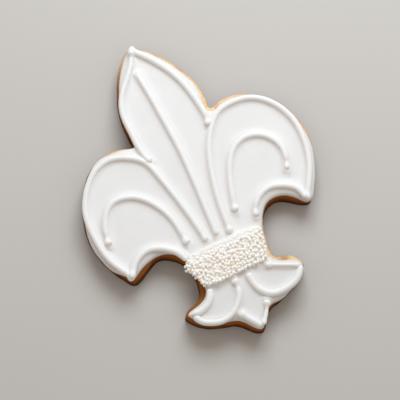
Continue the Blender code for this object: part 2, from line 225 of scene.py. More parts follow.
def grid_inside(loop, spacing, clearance, seed):
    """A jittered hexagonal grid of points inside a line, at least a clearance away from it."""
    chance = np.random.default_rng(seed)
    low, high = loop.min(axis=0), loop.max(axis=0)
    rows = np.arange(low[1], high[1], 0.87 * spacing)
    columns = np.arange(low[0], high[0], spacing)
    points = np.array([(x + 0.5 * spacing * (i % 2), y) for i, y in enumerate(rows) for x in columns])
    points += chance.uniform(-0.15, 0.15, points.shape) * spacing
    points = points[inside(loop, points)]
    return points[Near(loop)(points)[0] > clearance]


def thin_out(points, least):
    """The points with near doubles dropped: at most one in each small square."""
    cells = {}
    for i, cell in enumerate(map(tuple, np.floor(points / least).astype(int))):
        cells.setdefault(cell, i)
    return points[sorted(cells.values())]


def triangulate(loop, inner):
    """Flat points (the loop first) and triangles that fill a closed line, using the inner points."""
    count = len(loop)
    flat = [Vector(p) for p in np.vstack((loop, inner))]
    edges = [(i, (i + 1) % count) for i in range(count)]
    spots, _, triangles, _, _, _ = delaunay_2d_cdt(flat, edges, [], 1, 1e-6)
    return np.array([tuple(p) for p in spots]), [tuple(t) for t in triangles]


def mesh_piece(name, verts, faces, finish):
    """One smooth closed mesh, from millimetres to metres, with its faces turned outward."""
    mesh = bpy.data.meshes.new(name)
    mesh.from_pydata([tuple(v) for v in np.asarray(verts) * MM], [], faces)
    work = bmesh.new()
    work.from_mesh(mesh)
    bmesh.ops.recalc_face_normals(work, faces=work.faces)
    bmesh.ops.triangulate(work, faces=work.faces)
    open_edges = sum(1 for edge in work.edges if not edge.is_manifold)
    print(f"{name}: {len(work.faces)} triangles, {open_edges} open edges")
    work.to_mesh(mesh)
    work.free()
    mesh.materials.append(finish)
    mesh.shade_smooth()
    piece = bpy.data.objects.new(name, mesh)
    bpy.context.scene.collection.objects.link(piece)
    return piece


def slab(name, wall, inner, crown, underside, finish):
    """A closed body: wall rings of (flat points, heights) from the bottom up, a filled top and bottom."""
    count = len(wall[0][0])
    verts = [np.column_stack((line, np.broadcast_to(heights, count))) for line, heights in wall]
    faces = []
    for level in range(len(wall) - 1):
        low, high = level * count, (level + 1) * count
        for i in range(count):
            j = (i + 1) % count
            faces.append((low + j, low + i, high + i, high + j))
    top, bottom = (len(wall) - 1) * count, 0
    for ring_start, loop, points, height in ((top, wall[-1][0], inner, crown),
                                             (bottom, wall[0][0], underside[0], underside[1])):
        spots, triangles = triangulate(loop, points)
        added = sum(len(v) for v in verts) - count
        extra = spots[count:]
        verts.append(np.column_stack((extra, height(extra))))
        place = [ring_start + i if i < count else added + i for i in range(len(spots))]
        order = 1 if ring_start == top else -1
        faces += [tuple(place[i] for i in triangle[::order]) for triangle in triangles]
    return mesh_piece(name, np.vstack(verts), faces, finish)


# %% [markdown]
# ## Wiring nodes as Python
# Materials and Geometry Nodes are both boards of nodes.  Written out node by node they are hard to read, so
# a small class wraps a socket and lets ordinary arithmetic add the Math nodes: `1 - mask` or `depth * 0.2`.
# Everything that isn't plain arithmetic goes through one method, `node`, which takes the node's type, its
# settings and what goes into it.

# %% Sockets that can be added and multiplied


class Wire:
    """A socket with a value.  Arithmetic on it adds Math nodes to its board."""

    def __init__(self, board, socket):
        self.board = board
        self.socket = socket

    def maths(self, operation, *parts):
        return self.board.node("ShaderNodeMath", {"operation": operation}, dict(enumerate(parts)))

    def __add__(self, other):
        return self.maths("ADD", self, other)

    def __radd__(self, other):
        return self.maths("ADD", other, self)

    def __sub__(self, other):
        return self.maths("SUBTRACT", self, other)

    def __rsub__(self, other):
        return self.maths("SUBTRACT", other, self)

    def __mul__(self, other):
        return self.maths("MULTIPLY", self, other)

    def __rmul__(self, other):
        return self.maths("MULTIPLY", other, self)

    def __truediv__(self, other):
        return self.maths("DIVIDE", self, other)

    def __rtruediv__(self, other):
        return self.maths("DIVIDE", other, self)

    def __pow__(self, other):
        return self.maths("POWER", self, other)

    def least(self, other):
        return self.maths("MINIMUM", self, other)

    def most(self, other):
        return self.maths("MAXIMUM", self, other)

    def root(self):
        return self.maths("SQRT", self)

    def exp(self):
        return self.maths("EXPONENT", self)

    def ramp(self, low, high):
        """0 below low, 1 above high, and a smooth step between them."""
        values = {"Value": self, "From Min": low, "From Max": high}
        return self.board.node("ShaderNodeMapRange", {"interpolation_type": "SMOOTHSTEP"}, values)


class Board:
    """A node tree that is being wired."""

    def __init__(self, tree):
        self.tree = tree

    def node(self, kind, settings=None, inputs=None, output=0):
        """Adds a node: settings first, then its inputs by name or by number.  Returns one of its outputs."""
        made = self.tree.nodes.new(kind)
        for name, value in (settings or {}).items():
            setattr(made, name, value)
        shown = [socket for socket in made.inputs if socket.enabled]
        for key, value in (inputs or {}).items():
            socket = shown[key] if isinstance(key, int) else next(s for s in shown if s.name == key)
            self.feed(socket, value)
        outputs = [socket for socket in made.outputs if socket.enabled]
        if isinstance(output, str):
            return Wire(self, next(s for s in outputs if s.name == output))
        return Wire(self, outputs[output]) if outputs else made

    def feed(self, socket, value):
        if isinstance(value, Wire):
            self.tree.links.new(value.socket, socket)
        else:
            socket.default_value = value

    def given(self):
        """The tree's own inputs, by name."""
        source = self.node("NodeGroupInput").socket.node
        return {socket.name: Wire(self, socket) for socket in source.outputs if socket.name}

    def mix(self, factor, first, second):
        """A colour between two colours."""
        return self.node("ShaderNodeMix", {"data_type": "RGBA"}, {"Factor": factor, "A": first, "B": second})


print("arithmetic on sockets is ready")

# %% [markdown]
# ## What the finishes share
# Every finish here is a Principled shader whose pattern reads Object coordinates, so it stays put on the
# piece.  Noise comes in lumps of a given size in millimetres.  A number that is the same all over, such as
# how far light travels inside the icing, is set on the shader itself.

# %% Start a finish


def screen(red, green, blue):
    """A colour as it looks on a screen, 0 to 255, as the linear colour that a shader needs."""
    parts = [c / 255.0 for c in (red, green, blue)]
    return (*(c / 12.92 if c <= 0.04045 else ((c + 0.055) / 1.055) ** 2.4 for c in parts), 1.0)


class Finish(Board):
    """A material with one Principled shader."""

    def __init__(self, name, **constants):
        self.material = bpy.data.materials.new(name)
        self.material.use_nodes = True
        super().__init__(self.material.node_tree)
        self.shader = self.tree.nodes["Principled BSDF"]
        for key, value in constants.items():
            self.shader.inputs[key.replace("_", " ").title().replace("Ior", "IOR")].default_value = value
        self.place = self.node("ShaderNodeTexCoord", output="Object")

    def facing(self, x, y, z):
        """How far the surface faces a direction, from -1 to 1."""
        parts = {0: self.node("ShaderNodeTexCoord", output="Normal"), 1: (x, y, z)}
        return self.node("ShaderNodeVectorMath", {"operation": "DOT_PRODUCT"}, parts, "Value")

    def painted(self, name):
        """A number that the piece carries at every point."""
        return self.node("ShaderNodeAttribute", {"attribute_name": name}, output="Fac")

    def lumps(self, size, detail=2.0, roughness=0.5):
        """Noise from 0 to 1 with lumps of a size in millimetres."""
        values = {"Vector": self.place, "Scale": 1.0 / (size * MM), "Detail": detail, "Roughness": roughness}
        return self.node("ShaderNodeTexNoise", {}, values)

    def across(self, axis):
        """The place along one axis, in millimetres."""
        return self.node("ShaderNodeSeparateXYZ", {}, {"Vector": self.place}, axis) * (1.0 / MM)

    def relief(self, pattern, depth):
        """Bump of a depth in millimetres."""
        values = {"Height": pattern, "Strength": 1.0, "Distance": depth * MM}
        return self.node("ShaderNodeBump", {}, values, "Normal")

    def into(self, **varying):
        for key, value in varying.items():
            self.feed(self.shader.inputs[key.replace("_", " ").title()], value)


# %% [markdown]
# ## Baked biscuit
# A sugar cookie browns where it is hottest: hardest at the foot, which lay on the tray, and least at the
# rim.  So the colour runs up the wall from dark brown through tan to gold, and noise makes the heat patchy;
# the darkest brown at the foot is painted shade too.  The rim is painted paler on the side towards the light
# and browner away from it, as painted light and shade: a number painted on the biscuit says how far.  Dry
# crumb is rough, with small pits.

# %% Baked biscuit


def baked_biscuit():
    finish = Finish("baked biscuit", specular_ior_level=0.1)
    patches = finish.lumps(7.0)
    crumb = finish.lumps(0.7, detail=4.0, roughness=0.65)
    up = finish.across("Z") * (1.0 / BISCUIT_TOP) + (patches - 0.5) * 0.35
    # Darker towards the foot: real browning, with painted shade at the very bottom.
    wall = finish.mix(up.ramp(0.0, 0.9), screen(44, 16, 2), screen(144, 80, 22))
    # Painted light and shade: the rim is paler where it faces the light and browner on the far side.
    edge = finish.mix(finish.painted("painted_rim_light"), screen(160, 98, 42), screen(251, 217, 168))
    rim = finish.mix(up.ramp(0.74, 1.0), wall, edge)
    speckled = finish.mix((crumb - 0.45).most(0.0) * 1.2, rim, screen(132, 76, 30))
    pits = finish.node("ShaderNodeTexVoronoi", {}, {"Vector": finish.place, "Scale": 1.0 / (0.9 * MM)})
    finish.into(
        base_color=speckled,
        roughness=0.72 + crumb * 0.2,
        normal=finish.relief(crumb * 0.7 + pits.ramp(0.0, 0.35) * 0.5, 0.12),
    )
    return finish.material


# %% [markdown]
# ## Set icing
# Royal icing dries to a satin white, and light goes a little way into it: that is subsurface scattering, set
# on the shader.  A warm painted shade is laid on it low down and in the creases beside the lines, less on
# flanks that face the light.  The crease shade comes from a number painted on the flood; a piece without
# one reads zero.  The flood and the piped lines are the same icing, but the flood levels itself and dries a
# shade greyer, and it is painted greyer still towards the foot of the cookie, as painted shade.  The bed
# under the pearls is a warmer white.

# %% Set icing
# The flat direction towards the light, for the painted shade.
BRIGHT_SIDE = (0.73, 0.68)
# Where the painted foot shade runs, in millimetres along Y.
FOOT_FADE = (-40.0, -24.0)


def set_icing(name, tone, shade, foot_shade, grain, low, high):
    """Icing that is clean above one height, with painted warm shade below another and in the creases."""
    finish = Finish(
        name,
        subsurface_weight=0.3,
        subsurface_radius=(1.0, 0.9, 0.8),
        subsurface_scale=0.4 * MM,
        specular_ior_level=0.4,
    )
    # Painted shade: the flood turns greyer towards the foot, far from the light.
    cloud = finish.lumps(9.0) + 0.3 - (1.0 - finish.across("Y").ramp(*FOOT_FADE)) * foot_shade
    fine = finish.lumps(grain, detail=3.0)
    sheltered = 1.0 - finish.facing(*BRIGHT_SIDE, 0.0).ramp(-0.2, 0.5) * 0.6
    # Painted shade: a warm tint low down, less on flanks facing the light, and in the painted creases.
    painted_shade = ((1.0 - finish.across("Z").ramp(low, high)) * sheltered).most(finish.painted("crease_shade"))
    body = finish.mix(cloud.most(0.0).least(1.0), shade, tone)
    finish.into(
        base_color=finish.mix(painted_shade * 0.95, body, screen(220, 195, 179)),
        roughness=0.42 + fine * 0.12,
        normal=finish.relief(fine, 0.012),
    )
    return finish.material


# %% [markdown]
# ## Sugar pearls
# The pearls are sugar with an ivory shell: glossier than icing, and no two quite alike.  Each one carries a
# number of its own, its tint, which makes it a slightly different ivory and a rare one amber.  Their sides
# are painted warmer than their tops, and low pearls are painted golden, more so where higher ones close them
# in: painted shade for the warm shadow in the gaps.  Light passes from pearl to pearl, and a faint glow
# stands in for it.

# %% Sugar pearls


def sugar_pearls():
    finish = Finish(
        "sugar pearls",
        emission_color=(1.0, 0.99, 0.98, 1.0),
        emission_strength=0.09,
        coat_roughness=0.15,
    )
    tint = finish.painted("tint")
    # Painted shade: low pearls, pearl sides and closed-in pearls turn warmer and golden.
    low_shade = (1.0 - finish.across("Z").ramp(FLOOD_TOP + 0.2, FLOOD_TOP + 1.2)) * 0.3
    side = 0.8 - finish.facing(0.0, 0.0, 1.0).ramp(-0.3, 0.45) * 0.8
    ivory = finish.mix(side + tint.ramp(0.5, 0.95) * 0.08, screen(255, 255, 255), screen(246, 236, 218))
    gap_shade = finish.mix(low_shade.most(finish.painted("buried") * 0.2), ivory, screen(240, 206, 150))
    amber = finish.mix(tint.ramp(0.986, 0.993), gap_shade, screen(247, 216, 160))
    finish.into(base_color=amber, roughness=0.34 + tint * 0.1, coat_weight=0.2 + tint * 0.1)
    return finish.material


baked = baked_biscuit()
flood_icing = set_icing(
    "flood icing", screen(246, 246, 246), screen(237, 237, 237),
    foot_shade=1.0, grain=2.6, low=BISCUIT_TOP, high=FLOOD_TOP - 0.15,
)
piped_icing = set_icing(
    "piped icing", screen(254, 254, 254), screen(252, 252, 252),
    foot_shade=0.0, grain=1.4, low=FLOOD_TOP - 0.2, high=FLOOD_TOP + 0.6,
)
bed_icing = set_icing(
    "bed icing", screen(255, 254, 251), screen(254, 250, 242),
    foot_shade=0.0, grain=1.0, low=FLOOD_TOP - 0.8, high=FLOOD_TOP,
)
pearl_sugar = sugar_pearls()
print("finishes:", [m.name for m in (baked, flood_icing, piped_icing, bed_icing, pearl_sugar)])

# %% [markdown]
# ## The biscuit
# Rolled dough is cut with a thin metal cutter, so the wall stands nearly straight, and baking rounds both
# edges and spreads the foot.  The wall is a stack of copies of the cut edge; noise then pushes every point
# in or out a little, because crumb is never smooth.  Last, each point is painted with how much painted light
# its rim takes: by the way the nearest edge faces, by how far up the cookie it lies, and a little by chance.

# %% The biscuit


def quarter_round(radius, steps):
    """(inset, height above the start) pairs of a rounded edge, from the wall to the flat."""
    angles = np.linspace(0.0, 0.5 * math.pi, steps + 1)
    return [(radius * (1.0 - math.cos(a)), radius * math.sin(a)) for a in angles]


# The flat direction of the lit side, for the painted light on the rim.
RIM_LIGHT_SIDE = np.array((0.9, 0.43))


def corners_of(piece):
    return np.array([tuple(v.co) for v in piece.data.vertices]) / MM


def paint(piece, name, values):
    """Writes a number on every point of a mesh, for its finish to read."""
    piece.data.attributes.new(name, "FLOAT", "POINT").data.foreach_set("value", values)


def build_biscuit():
    edge_round = 0.9
    foot = 0.25
    rise = BISCUIT_TOP - edge_round
    levels = [(0.45, 0.0), (0.12, 0.12), (-0.1, 0.35), (-foot, 0.7)]
    levels += [(-foot * (1.0 - t) ** 2, 0.7 + (rise - 0.7) * t) for t in np.linspace(0.0, 1.0, 10)[1:]]
    levels += [(d, rise + h) for d, h in quarter_round(edge_round, 6)[1:]]
    levels += [(1.5, BISCUIT_TOP), (2.3, BISCUIT_TOP)]
    normal = inward_normals(biscuit_edge)
    wall = []
    for distance, height in levels:
        line = inset(biscuit_edge, distance)
        slope = Vector((0.0, 0.0, height))
        lump = [noise.fractal((Vector((x, y, 0.0)) + slope) / 3.2, 1.0, 2.0, 3) for x, y in line]
        loose = 0.0 if height == 0.0 else 1.0
        line = line + normal * (0.13 * loose * np.array(lump))[:, None]
        crumb = wander(line, 1.1, 3 + distance) * 0.06 if height > rise else np.zeros(len(line))
        wall.append((line, height + np.minimum(crumb, 0.02)))
    inner = grid_inside(wall[-1][0], 2.2, 0.8, 5)
    under = grid_inside(wall[0][0], 1.3, 0.5, 6)
    body = slab(
        "biscuit_body", wall, inner, lambda p: np.full(len(p), BISCUIT_TOP),
        (under, lambda p: np.maximum(0.0, wander(p, 2.4, 8)) * 0.25), baked,
    )
    places = corners_of(body)
    _, nearest = Near(biscuit_edge)(places[:, :2])
    # Painted light: the number grows where the edge faces the lit side and towards the top of the cookie.
    painted_rim_light = 0.012 * places[:, 1] - normal[nearest] @ RIM_LIGHT_SIDE + 0.15 * wander(places[:, :2], 6.0, 12)
    paint(body, "painted_rim_light", np.clip((painted_rim_light + 0.15) / 0.65, 0.0, 1.0))
    return body


biscuit = build_biscuit()

# %% [markdown]
# ## The routes of the piped lines
# A piped line is laid along a path drawn by hand, so its route stays a short list of places, the same that
# the plain model follows, and CENTRE brings them to the frame's origin.  A natural cubic runs through them.
# Beside each route stand three numbers: how thick the line is against the usual one where the nozzle
# starts, along the run and where it lifts.

# %% Routes
CENTRE = (1.17, 0.55)
ROUTES = {
    "piped_lobe_left": (((-30.9, -19.9), (-32.2, -17.4), (-35.2, -11.8), (-36.9, -2.5), (-36.2, 6.5),
                         (-32.2, 13.9), (-27.0, 18.4), (-21.5, 19.5), (-16.4, 17.7), (-12.0, 14.2),
                         (-9.8, 8.4), (-7.7, -0.6), (-5.8, -10.6), (-4.8, -18.4)), 1.4, 0.95, 1.05),
    "piped_lobe_right": (((30.3, -19.8), (32.1, -16.8), (35.8, -10.4), (38.2, -2.5), (38.1, 7.0),
                          (34.0, 15.3), (28.6, 19.4), (22.0, 20.4), (17.1, 19.4), (13.2, 15.9),
                          (9.3, 9.8), (6.5, 2.0), (4.2, -9.5), (3.3, -19.3)), 1.15, 0.95, 1.2),
    "piped_petal_right": (((-0.7, 51.5), (2.4, 48.3), (5.7, 44.0), (9.3, 37.6), (11.7, 30.1),
                           (12.7, 23.5), (12.9, 20.5), (12.3, 16.2)), 1.6, 1.05, 1.2),
    "piped_petal_left": (((0.3, 50.9), (-1.9, 46.6), (-5.5, 42.1), (-9.1, 37.7), (-11.5, 31.5),
                          (-11.6, 25.0), (-11.4, 18.7), (-10.1, 12.9)), 1.2, 0.95, 1.15),
    "piped_vein": (((-1.5, 42.5), (-0.7, 34.0), (-0.2, 25.5), (0.3, 15.0), (0.0, 0.0), (-0.7, -13.1),
                    (-0.9, -18.1)), 0.85, 1.0, 1.0),
    "piped_curl_left": (((-33.7, -6.6), (-32.5, -0.6), (-30.1, 3.7), (-27.0, 5.9), (-23.0, 5.9),
                         (-18.7, 3.9), (-14.5, -0.9), (-11.8, -7.1), (-11.0, -13.0), (-10.7, -16.8)),
                        1.3, 0.95, 1.35),
    "piped_curl_right": (((7.7, -13.6), (9.9, -5.6), (13.1, 2.0), (16.7, 6.2), (21.4, 7.8), (26.1, 6.5),
                          (29.6, 2.8), (30.7, -2.3), (28.9, -8.0)), 1.25, 0.95, 0.95),
    "piped_bay_left": (((-31.7, -19.6), (-27.8, -14.8), (-22.7, -13.2), (-17.9, -15.1), (-14.7, -18.1),
                        (-13.2, -21.5)), 1.15, 1.05, 0.9),
    "piped_bay_right": (((30.4, -19.3), (29.2, -15.1), (25.6, -12.2), (21.5, -10.9), (16.9, -12.1),
                         (14.3, -14.8), (13.0, -17.9)), 0.95, 1.05, 1.1),
    "piped_foot_left_leaf": (((-2.5, -33.2), (-2.2, -35.5), (-2.7, -38.0), (-5.1, -41.4), (-8.0, -43.4),
                              (-11.9, -43.9), (-15.2, -42.8), (-17.8, -40.8), (-18.7, -38.6)),
                             1.25, 0.95, 1.05),
    "piped_foot_right_leaf": (((2.5, -33.5), (2.8, -37.1), (4.0, -40.2), (6.9, -42.7), (10.9, -43.1),
                               (15.8, -41.7), (19.1, -38.4)), 1.15, 1.08, 0.9),
    "piped_foot_left_top": (((-10.8, -32.8), (-11.4, -34.8), (-13.1, -36.9), (-16.0, -38.1),
                             (-20.2, -37.9)), 1.0, 1.15, 0.6),
    "piped_foot_right_top": (((8.7, -33.4), (9.7, -33.8), (11.5, -34.6), (14.4, -36.0), (16.7, -37.1),
                              (18.6, -38.2)), 1.1, 0.7, 0.8),
    "piped_point_left": (((-5.5, -43.8), (-3.1, -47.3), (-0.7, -50.8)), 1.3, 1.0, 0.9),
    "piped_point_right": (((4.3, -43.8), (2.7, -46.8), (0.9, -49.2), (-0.3, -50.6)), 1.25, 0.65, 0.8),
}
LINE_WIDTH = 2.15
LINE_STEP = 0.42


def natural_spline(points, step):
    """Points about a step apart on the natural cubic curve through a few places."""
    knots = np.array(points, float)
    chords = np.linalg.norm(np.diff(knots, axis=0), axis=1)
    at = np.concatenate(([0.0], np.cumsum(chords)))
    count = len(knots)
    system = np.eye(count)
    right = np.zeros_like(knots)
    for i in range(1, count - 1):
        before, after = chords[i - 1], chords[i]
        system[i, i - 1:i + 2] = before, 2.0 * (before + after), after
        right[i] = 6.0 * ((knots[i + 1] - knots[i]) / after - (knots[i] - knots[i - 1]) / before)
    bend = np.linalg.solve(system, right)
    here = np.linspace(0.0, at[-1], max(3, round(at[-1] / step) + 1))
    place = np.clip(np.searchsorted(at, here, side="right") - 1, 0, count - 2)
    width = chords[place][:, None]
    b = (here - at[place])[:, None] / width
    a = 1.0 - b
    curve = a * knots[place] + b * knots[place + 1]
    return curve + ((a ** 3 - a) * bend[place] + (b ** 3 - b) * bend[place + 1]) * width ** 2 / 6.0


def even_stops(route):
    """The route resampled: evenly along the run, and closer and closer towards both ends."""
    along = np.concatenate(([0.0], np.cumsum(np.linalg.norm(np.diff(route, axis=0), axis=1))))
    reach = 0.5 * LINE_WIDTH
    total = along[-1]
    tip = reach * (1.0 - np.cos(np.linspace(0.0, 0.5 * math.pi, 8)))[:-1]
    run = np.linspace(reach, total - reach, round((total - 2.0 * reach) / LINE_STEP) + 1)
    stops = np.concatenate((tip, run, total - tip[::-1]))
    return np.column_stack([np.interp(stops, along, route[:, axis]) for axis in (0, 1)])


routes = {}
for name, (places, *_) in ROUTES.items():
    routes[name] = even_stops(natural_spline(np.array(places) - CENTRE, 0.1))
total = sum(np.linalg.norm(np.diff(route, axis=0), axis=1).sum() for route in routes.values())
print(f"{len(routes)} lines, {total:.0f} mm of piping")

# %% [markdown]
# ## The flood
# Flood icing is thinned until it levels itself.  It ends in a round shoulder, and where there was too much
# it runs past the edge of the biscuit and hangs down the wall.  Beside every piped line it is drawn up a
# little, as water is at the side of a glass, so the line seems to grow out of it.
# The top is a height rule: the shoulder depends on the distance to the edge, and the drawn-up part on the
# distance to the nearest line.  Points are set closer where the rule bends most.  Then the crease shade is
# painted: a painted shade on the strip close beside a line, on the side away from the light.

# %% The flood
SHOULDER = 1.75
SHOULDER_RISE = 1.25


def build_flood():
    lines = np.vstack(list(routes.values()))
    to_line = Near(lines)
    to_edge = Near(flood_edge)
    reach = 0.5 * LINE_WIDTH

    def crown(points):
        edge = np.minimum(to_edge(points)[0] / SHOULDER, 1.0)
        gap = np.maximum(to_line(points)[0] - reach, 0.0)
        shoulder = SHOULDER_RISE * (np.sqrt(1.0 - (1.0 - edge) ** 2) - 1.0)
        drawn_up = 0.5 * np.exp(-((gap / 0.6) ** 1.3)) * edge
        return FLOOD_TOP + shoulder + drawn_up + 0.05 * wander(points, 9.0, 2)

    rings = [inset(flood_edge, d) for d in (0.06, 0.18, 0.36, 0.6, 0.9, 1.3, SHOULDER, 2.4)]
    sides = []
    for route in routes.values():
        along = np.gradient(route, axis=0)
        across = np.column_stack((along[:, 1], -along[:, 0])) / np.linalg.norm(along, axis=1)[:, None]
        for offset in (reach + 0.02, reach + 0.25, reach + 0.55, reach + 1.0):
            sides += [route + offset * across, route - offset * across]
    inner = np.vstack((*rings, *sides, grid_inside(flood_edge, 1.5, 2.6, 4)))
    inner = inner[inside(flood_edge, inner)]
    inner = inner[to_edge(inner)[0] > 0.05]
    inner = thin_out(inner, 0.2)

    to_biscuit, _ = Near(biscuit_edge)(flood_edge)
    over = np.where(inside(biscuit_edge, flood_edge), -to_biscuit, to_biscuit)
    hang = 1.5 * np.clip((over + 0.1) / 0.5, 0.0, 1.0) ** 2
    hang = blur(flood_edge, hang * (1.0 + 0.35 * wander(flood_edge, 4.0, 6)), 1.2)
    lip = BISCUIT_TOP - 0.12 - hang
    shoulder_start = FLOOD_TOP - SHOULDER_RISE
    tuck = blur(flood_edge, np.maximum(0.35, over + 0.4), 0.6)
    wall = [
        (inset(flood_edge, tuck), lip),
        (inset(flood_edge, 0.14), lip + 0.05),
        (inset(flood_edge, 0.04), lip + 0.25),
        (flood_edge, 0.5 * (lip + shoulder_start)),
        (flood_edge, shoulder_start),
    ]
    under = grid_inside(wall[0][0], 4.0, 1.0, 7)
    sheet = slab(
        "icing_flood_sheet", wall, inner, crown,
        (under, lambda p: np.full(len(p), lip.max())), flood_icing,
    )
    places = corners_of(sheet)
    away, nearest = to_line(places[:, :2])
    sheltered = np.clip((lines[nearest] - places[:, :2]) @ BRIGHT_SIDE / np.maximum(away, 0.1), 0.0, 1.0)
    gap = np.maximum(away - reach, 0.0)
    on_top = places[:, 2] > FLOOD_TOP - 0.6
    # Painted shade: a warm crease shade on the strip beside each line, on the side away from the light.
    paint(sheet, "crease_shade", 0.65 * sheltered * np.exp(-((gap / 0.5) ** 2)) * on_top)
    return sheet


flood = build_flood()

# %% [markdown]
# ## The piped lines
# A line of piping is a round cord of icing that has sunk a little into the flood.  It could be a curve with
# a bevel, but its ends and its thickness need care: the nozzle leaves a blob where it starts and where it
# lifts, and the pressure of a hand is never quite even.  A Geometry Nodes tree does this for all fifteen.
# It reads how far along the line it is, works out the thickness there, and sweeps an egg-shaped section.

# %% The tree for a piped line


def geometry_board(title, numbers, whole_numbers=()):
    """A new Geometry Nodes tree with named inputs, ready to be wired."""
    tree = bpy.data.node_groups.new(title, "GeometryNodeTree")
    kinds = {"Geometry": "Geometry"}
    kinds.update({name: "Float" for name in numbers})
    kinds.update({name: "Int" for name in whole_numbers})
    kinds["Finish"] = "Material"
    for name, kind in kinds.items():
        tree.interface.new_socket(name, in_out="INPUT", socket_type="NodeSocket" + kind)
    tree.interface.new_socket("Geometry", in_out="OUTPUT", socket_type="NodeSocketGeometry")
    return Board(tree)


def piped_line_tree():
    sizes = ("Width", "Rise", "Sink", "Start", "Middle", "End", "Neck in", "Neck out", "Unevenness", "Seed")
    board = geometry_board("Piped line", sizes)
    given = board.given()

    along = board.node("GeometryNodeSplineParameter", output="Length")
    total = board.node("GeometryNodeSplineLength", output="Length")
    half = given["Width"] * 0.5
    left = total - along
    begin = (0.0 - (along / half - 1.0).most(0.0) ** 2.0).exp()
    finish = (0.0 - (left / half - 1.0).most(0.0) ** 2.0).exp()
    factor = given["Middle"] + (given["Start"] - given["Middle"]) * begin
    factor = factor + (given["End"] - given["Middle"]) * finish
    necks = given["Neck in"] * (0.0 - ((along / half - 2.6) / 0.9) ** 2.0).exp()
    factor = factor - necks - given["Neck out"] * (0.0 - ((left / half - 2.6) / 0.9) ** 2.0).exp()
    near = (along.least(left) / half).least(1.0)
    rounded = (1.0 - (1.0 - near) ** 2.0).most(0.0).root().most(0.02)
    place = board.node("GeometryNodeInputPosition")
    waver = board.node("ShaderNodeTexNoise", {"noise_dimensions": "4D"},
                       {"Vector": place, "W": given["Seed"], "Scale": 1.0 / (5.0 * MM), "Detail": 2.0})
    radius = factor * rounded * (1.0 + (waver - 0.5) * given["Unevenness"])

    route = board.node("GeometryNodeSetCurveNormal", {"mode": "Z_UP"}, {"Curve": given["Geometry"]})

    ring = board.node("GeometryNodeCurvePrimitiveCircle", {"mode": "RADIUS"},
                      {"Resolution": 24, "Radius": 1.0})
    spot = board.node("GeometryNodeInputPosition")
    x = board.node("ShaderNodeSeparateXYZ", {}, {"Vector": spot}, "X")
    y = board.node("ShaderNodeSeparateXYZ", {}, {"Vector": spot}, "Y")
    tall = y.most(0.0) * given["Rise"] + y.least(0.0) * given["Sink"]
    egg = board.node("ShaderNodeCombineXYZ", {}, {"X": x * half, "Y": tall})
    section = board.node("GeometryNodeSetPosition", {}, {"Geometry": ring, "Position": egg})

    swept = board.node("GeometryNodeCurveToMesh", {},
                       {"Curve": route, "Profile Curve": section, "Scale": radius, "Fill Caps": True})
    smooth = board.node("GeometryNodeSetShadeSmooth", {}, {0: swept, "Shade Smooth": True})
    solid = board.node("GeometryNodeRealizeInstances", {}, {0: smooth})
    dressed = board.node("GeometryNodeSetMaterial", {}, {"Geometry": solid, "Material": given["Finish"]})
    board.node("NodeGroupOutput", {}, {"Geometry": dressed})
    return board.tree


def grow(obj, tree, values):
    """The mesh that a tree makes on an object, as an object of its own; the source is removed."""
    modifier = obj.modifiers.new("grow", "NODES")
    modifier.node_group = tree
    for item in tree.interface.items_tree:
        if item.in_out == "INPUT" and item.name in values:
            modifier[item.identifier] = values[item.name]
    bpy.context.view_layer.update()
    ready = obj.evaluated_get(bpy.context.evaluated_depsgraph_get())
    mesh = bpy.data.meshes.new_from_object(ready)
    name = obj.name
    bpy.data.objects.remove(obj)
    mesh.name = name
    made = bpy.data.objects.new(name, mesh)
    bpy.context.scene.collection.objects.link(made)
    work = bmesh.new()
    work.from_mesh(mesh)
    bmesh.ops.recalc_face_normals(work, faces=work.faces)
    open_edges = sum(1 for edge in work.edges if not edge.is_manifold)
    work.to_mesh(mesh)
    work.free()
    print(f"{name}: {sum(len(p.vertices) - 2 for p in mesh.polygons)} triangles, {open_edges} open edges")
    return made


line_tree = piped_line_tree()
print("the line tree has", len(line_tree.nodes), "nodes")

# %% [markdown]
# A line that meets one laid earlier climbs on to it.  The lines are piped in the order of the list, so
# each route asks how close it comes to the ones before it and is lifted there.

# %% Lay the lines
LINE_LIFT = 0.25
LINE_RISE = 1.15
LINE_SINK = 1.1
CLIMB = 0.75
NECKS = {
    "piped_curl_left": (0.25, 0.15),
    "piped_curl_right": (0.15, 0.4),
    "piped_petal_right": (0.0, 0.25),
    "piped_lobe_left": (0.1, 0.1),
    "piped_lobe_right": (0.1, 0.15),
    "piped_foot_left_leaf": (0.3, 0.0),
    "piped_bay_right": (0.0, 0.3),
    "piped_point_right": (0.1, 0.0),
}


def lay_line(name, route, laid):
    height = np.full(len(route), FLOOD_TOP + LINE_LIFT)
    if laid:
        away, _ = Near(np.vstack(laid))(route)
        height += CLIMB * np.exp(-((away / (0.55 * LINE_WIDTH)) ** 2))
    curve = bpy.data.curves.new(name, "CURVE")
    curve.dimensions = "3D"
    spline = curve.splines.new("POLY")
    spline.points.add(len(route) - 1)
    for point, (x, y), z in zip(spline.points, route, height):
        point.co = (x * MM, y * MM, z * MM, 1.0)
    line = bpy.data.objects.new(name + "_line", curve)
    bpy.context.scene.collection.objects.link(line)
    return line


laid, lines = [], {}
for seed, (name, route) in enumerate(routes.items()):
    start, middle, end = ROUTES[name][1:]
    neck_in, neck_out = NECKS.get(name, (0.0, 0.0))
    values = {"Width": LINE_WIDTH * MM, "Rise": LINE_RISE * MM, "Sink": LINE_SINK * MM, "Start": start,
              "Middle": middle, "End": end, "Neck in": neck_in, "Neck out": neck_out,
              "Unevenness": 0.16, "Seed": float(seed), "Finish": piped_icing}
    lines[name] = grow(lay_line(name, route, laid), line_tree, values)
    laid.append(route)

# %% [markdown]
# ## The bed under the pearls
# The pearls are stuck in a low bank of wet icing laid across the waist.  It shows only in the gaps and
# along its upper edge, where the pearls have sunk in.

